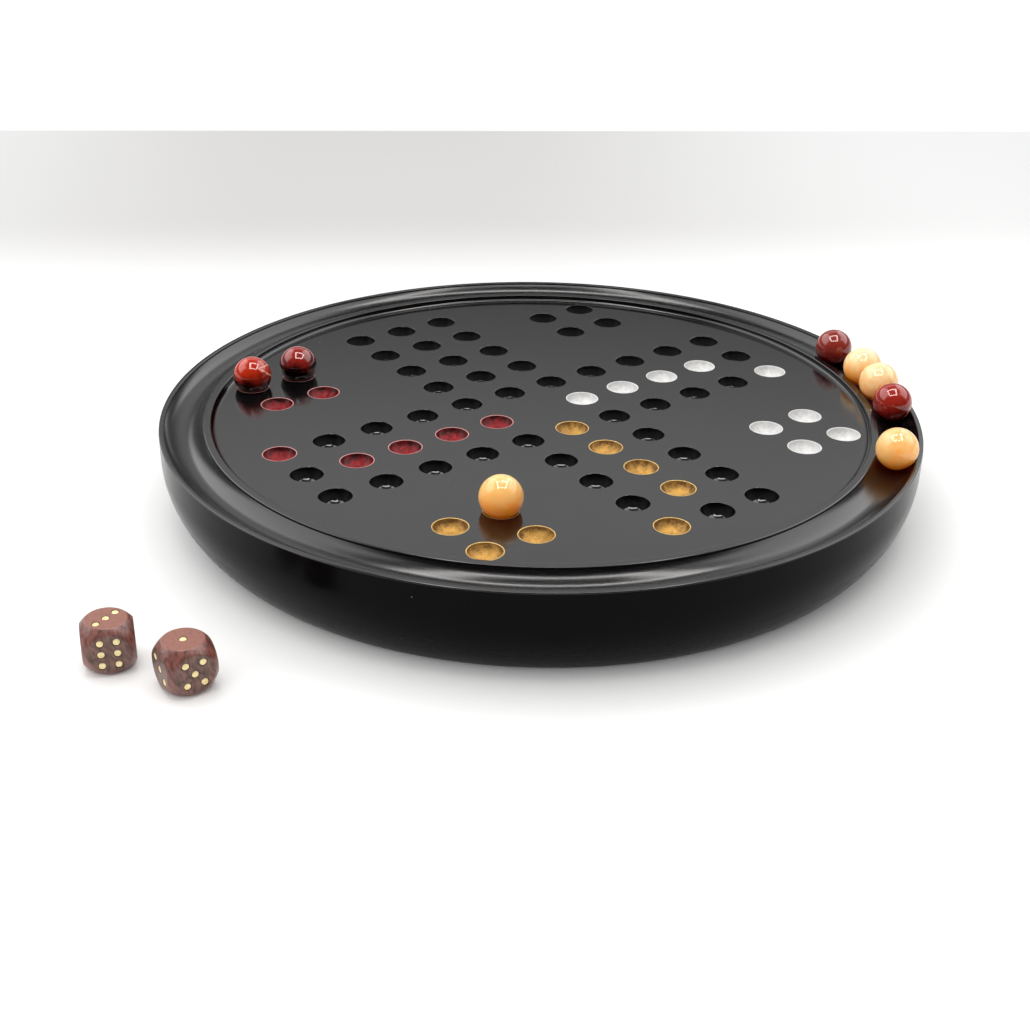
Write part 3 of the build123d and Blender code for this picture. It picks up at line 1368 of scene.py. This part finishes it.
@dataclass
class Studio:
    """A white light tent with a square ring lamp over the board, a pale floor and the camera."""

    camera_place: Way = (-0.34132, -0.45811, 0.28280)
    camera_heading: float = 35.732
    camera_tilt: float = -27.481
    camera_roll: float = 0.833
    camera_lens: float = 54.07
    sensor_width: float = 36.0
    camera_clip: Span = (0.01, 20.0)
    floor_radius: float = 3.0
    floor_steps: int = 96
    floor_drop: float = 0.00005
    floor_colour: Colour = colour(0.97, 0.97, 0.965)
    floor_roughness: float = 0.9
    lamp_centre: Way = (-0.002, -0.069, 0.718)
    lamp_outer_half: float = 0.285
    lamp_inner_half: float = 0.195
    lamp_turn: float = -35.0
    lamp_glossy_strength: float = 13.0
    lamp_strength: float = 3.5
    lamp_colour: Colour = colour(1.0, 0.99, 0.97)
    set_heading: float = 32.5
    tent_light: float = 1.25
    side_share: float = 0.4
    front_share: float = 0.3
    mirrored_light: float = 1.1
    mirrored_low: float = 0.20
    mirrored_horizon: float = 2.0
    mirrored_panel: float = 3.0
    mirrored_front: float = 0.0
    front_span: Span = (-0.10, -0.40)
    panel_side: Span = (0.27, 0.37)
    panel_foot: Span = (0.28, 0.42)
    panel_top: Span = (0.90, 0.80)
    sky_foot: Span = (0.30, 0.48)
    sky_top: Span = (0.78, 0.66)
    horizon_top: Span = (0.10, 0.0)
    # the grey belt on the floor behind the board is painted shade
    belt_front: Span = (0.15, 0.38)
    belt_back: Span = (0.61, 0.60)
    belt_middle: float = -0.08
    belt_side: Span = (0.05, 0.40)
    belt_inner: Colour = colour(0.545, 0.54, 0.535)
    belt_outer: Colour = colour(0.70, 0.70, 0.70)

    def set_ways(self) -> tuple[Vector, Vector]:
        """Give the set's level directions, to its back and to its right."""
        turn = math.radians(self.set_heading)
        return Vector((math.sin(turn), math.cos(turn), 0.0)), Vector((math.cos(turn), -math.sin(turn), 0.0))

    def make_camera(self) -> None:
        """Place the camera as in the photograph."""
        camera_data = bpy.data.cameras.new("camera")
        camera_data.lens = self.camera_lens
        camera_data.sensor_width = self.sensor_width
        camera_data.clip_start, camera_data.clip_end = self.camera_clip
        camera = bpy.data.objects.new("camera", camera_data)
        bpy.context.scene.collection.objects.link(camera)
        heading = Matrix.Rotation(math.radians(-self.camera_heading), 4, "Z")
        tilt = Matrix.Rotation(math.radians(90 + self.camera_tilt), 4, "X")
        roll = Matrix.Rotation(math.radians(self.camera_roll), 4, "Z")
        camera.matrix_world = Matrix.Translation(self.camera_place) @ heading @ tilt @ roll
        bpy.context.scene.camera = camera

    def make_floor(self) -> None:
        """Lay a pale floor with a light grey belt behind the board, which is painted shade where the floor falls away
        from the light; the floor keeps the object's shadow.
        """
        deselect_all()
        bpy.ops.mesh.primitive_circle_add(
            vertices=self.floor_steps, radius=self.floor_radius, fill_type="NGON", location=(0, 0, -self.floor_drop)
        )
        floor = bpy.context.object
        floor.name = "floor"
        settle(floor)
        shader = Surface("pale_floor")
        back, right = (shader.along(shader.place, way) for way in self.set_ways())
        # painted shade: a grey belt across the floor behind the board, darkest in its middle
        belt = back.ramp(*self.belt_front) * back.ramp(*self.belt_back)
        grey = shader.blend(abs(right - self.belt_middle).ramp(*self.belt_side), self.belt_inner, self.belt_outer)
        floor_colour = shader.blend(belt, self.floor_colour, grey)
        shader.finish(Base_Color=floor_colour, Roughness=self.floor_roughness, Specular_IOR_Level=0.0)
        floor.data.materials.append(shader.material)

    def make_lamp(self) -> None:
        """Hang the square ring lamp."""
        deselect_all()
        bpy.ops.mesh.primitive_plane_add(size=2 * self.lamp_outer_half, location=(0, 0, 0))
        lamp = bpy.context.object
        lamp.name = "ring_lamp"
        edit(lamp)
        bpy.ops.mesh.inset(thickness=self.lamp_outer_half - self.lamp_inner_half)
        bpy.ops.mesh.delete(type="ONLY_FACE")
        close_edit()
        lamp.matrix_world = Matrix.Translation(self.lamp_centre) @ Matrix.Rotation(math.radians(self.lamp_turn), 4, "Z")
        settle(lamp)
        lamp.visible_camera = False
        shader = Surface("lamp_light")
        shader.tree.nodes.remove(shader.principled)
        glossy = shader.node("ShaderNodeLightPath", {}, {}, "Is Glossy Ray")
        strength = self.lamp_strength + glossy * (self.lamp_glossy_strength - self.lamp_strength)
        glow = shader.node("ShaderNodeEmission", {}, {"Color": self.lamp_colour, "Strength": strength})
        shader.feed(shader.tree.nodes["Material Output"].inputs["Surface"], glow)
        shader.material.cycles.emission_sampling = "NONE"
        lamp.data.materials.append(shader.material)

    def light_tent(self) -> None:
        """Light everything softly from all round; mirrors also see bright panels high up and a dark front."""
        world = bpy.data.worlds.new("light_tent")
        world.use_nodes = True
        world.cycles.sampling_method = "NONE"
        bpy.context.scene.world = world
        shader = Shader(world.node_tree, "Generated")
        back, right = (shader.along(shader.place, way) for way in self.set_ways())
        up = shader.split(shader.place)[2]
        front = back.ramp(*self.front_span)
        panel = abs(right).ramp(*self.panel_side) * up.ramp(*self.panel_foot) * up.ramp(*self.panel_top)
        sky = up.ramp(*self.sky_foot) * up.ramp(*self.sky_top)
        mirrored = self.mirrored_low + sky * (self.mirrored_light - self.mirrored_low)
        mirrored = mirrored + up.ramp(*self.horizon_top) * (self.mirrored_horizon - self.mirrored_low)
        mirrored = mirrored.toward(panel, self.mirrored_panel).toward(front, self.mirrored_front)
        glossy = shader.node("ShaderNodeLightPath", {}, {}, "Is Glossy Ray")
        seen = shader.node("ShaderNodeLightPath", {}, {}, "Is Camera Ray")
        tent = self.tent_light * (1.0 - right * self.side_share + back * self.front_share)
        background = world.node_tree.nodes["Background"]
        shader.feed(background.inputs["Color"], colour(1.0, 1.0, 1.0))
        shader.feed(background.inputs["Strength"], tent.toward(glossy, mirrored).toward(seen, 1.0))


def main() -> None:
    """Build and dress every piece, then the studio round them."""
    logging.basicConfig(level=logging.INFO, format="%(message)s")
    bpy.context.scene.view_settings.view_transform = "Standard"
    studio = Studio()
    studio.make_camera()
    board = Board()
    board.dress(board.build())
    for enamel in ENAMELS:
        board.dress_lining(board.build_lining(enamel), enamel)
    for node, stone in STONES.items():
        marble = Marble(node, stone)
        marble.dress(marble.build())
    first = {"top": "three", "front": "six", "right": "five", "back": "one", "left": "two", "bottom": "four"}
    second = {"top": "one", "front": "five", "right": "four", "back": "two", "left": "three", "bottom": "six"}
    dice = (Die("first_die", -20.0, first), Die("second_die", -3.0, second, ("left",)))
    for die in dice:
        die.dress(die.build(), die.build_pips())
    studio.make_floor()
    studio.make_lamp()
    studio.light_tent()


if __name__ == "__main__":
    main()
